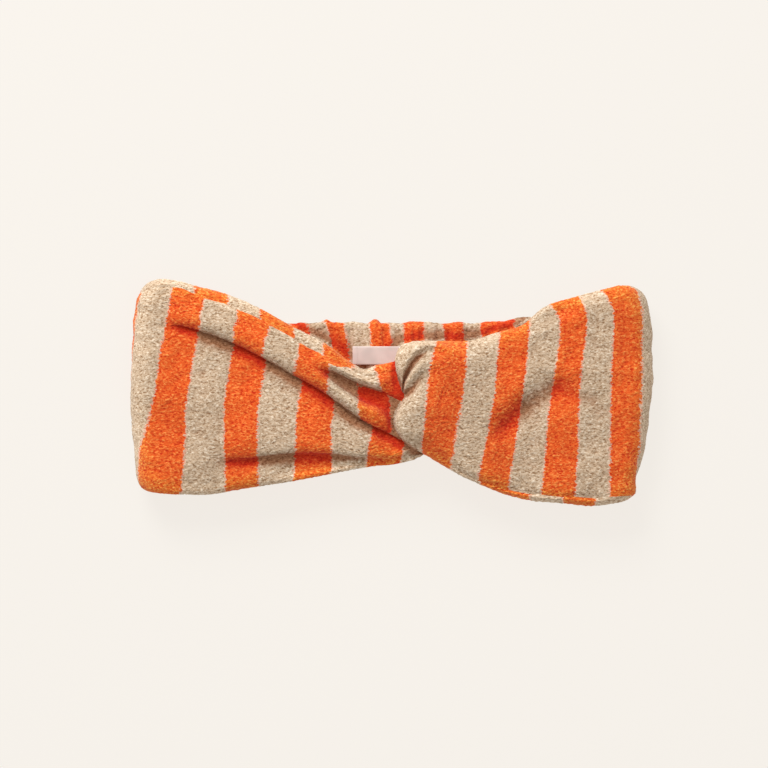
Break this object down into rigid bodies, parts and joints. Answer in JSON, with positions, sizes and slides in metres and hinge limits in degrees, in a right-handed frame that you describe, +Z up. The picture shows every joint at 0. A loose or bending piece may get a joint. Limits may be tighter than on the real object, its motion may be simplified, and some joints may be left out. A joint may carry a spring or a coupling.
{
  "type": "twist-front terry headband",
  "caption": "Soft striped terry headband with a twisted front and a gathered elastic back band, lying flat.",
  "frame": {"origin": "on the surface the band lies on, under the middle of its outline", "axes": "+X along the band towards the right fold, +Y across it towards the upper edge of the back band, +Z up out of the surface"},
  "size_m": [0.225, 0.0978, 0.028],
  "materials": {
    "striped_terry": "looped pile",
    "woven_elastic": "ribbed weave",
    "label_tape": "satin weave",
    "label_thread": "twisted thread",
    "seam_thread": "twisted thread"
  },
  "bodies": {
    "back_band": {"back_casing": "striped_terry", "elastic_band": "woven_elastic", "casing_seam_thread": "seam_thread", "left_joining_thread": "seam_thread", "right_joining_thread": "seam_thread", "woven_label": "label_tape", "label_stitches": "label_thread"},
    "left_tail": {"left_tail": "striped_terry", "left_tail_seam_thread": "seam_thread"},
    "left_front": {"left_front_panel": "striped_terry", "left_front_seam_thread": "seam_thread"},
    "knot": {"knot_under_strand": "striped_terry", "knot_over_strand": "striped_terry", "knot_tack_thread": "seam_thread"},
    "right_front": {"right_front_panel": "striped_terry", "right_front_seam_thread": "seam_thread"},
    "right_tail": {"right_tail": "striped_terry", "right_tail_seam_thread": "seam_thread"}
  },
  "joints": [
    {"name": "left_seam_bend", "type": "hinge", "parent": "back_band", "child": "left_tail", "pos_m": [-0.065, 0.014, 0.0065], "axis": [0, 1, 0], "range_deg": [0, 60]},
    {"name": "left_side_fold", "type": "hinge", "parent": "left_tail", "child": "left_front", "pos_m": [-0.1125, 0, 0.009], "axis": [0, -1, 0], "range_deg": [0, 100]},
    {"name": "left_knot_bend", "type": "hinge", "parent": "left_front", "child": "knot", "pos_m": [-0.0125, -0.01, 0.0125], "axis": [0, 1, 0], "range_deg": [0, 40]},
    {"name": "right_knot_bend", "type": "hinge", "parent": "knot", "child": "right_front", "pos_m": [0.0125, -0.005, 0.0125], "axis": [0, 1, 0], "range_deg": [0, 40]},
    {"name": "right_side_fold", "type": "hinge", "parent": "right_front", "child": "right_tail", "pos_m": [0.1125, 0, 0.009], "axis": [0, -1, 0], "range_deg": [0, 100]}
  ],
  "couplings": [
    {"joint": "left_seam_bend", "follows": "left_side_fold", "ratio": 0.6},
    {"joint": "left_knot_bend", "follows": "left_side_fold", "ratio": 0.4},
    {"joint": "right_knot_bend", "follows": "left_side_fold", "ratio": 0.4},
    {"joint": "right_side_fold", "follows": "left_side_fold", "ratio": 1}
  ]
}
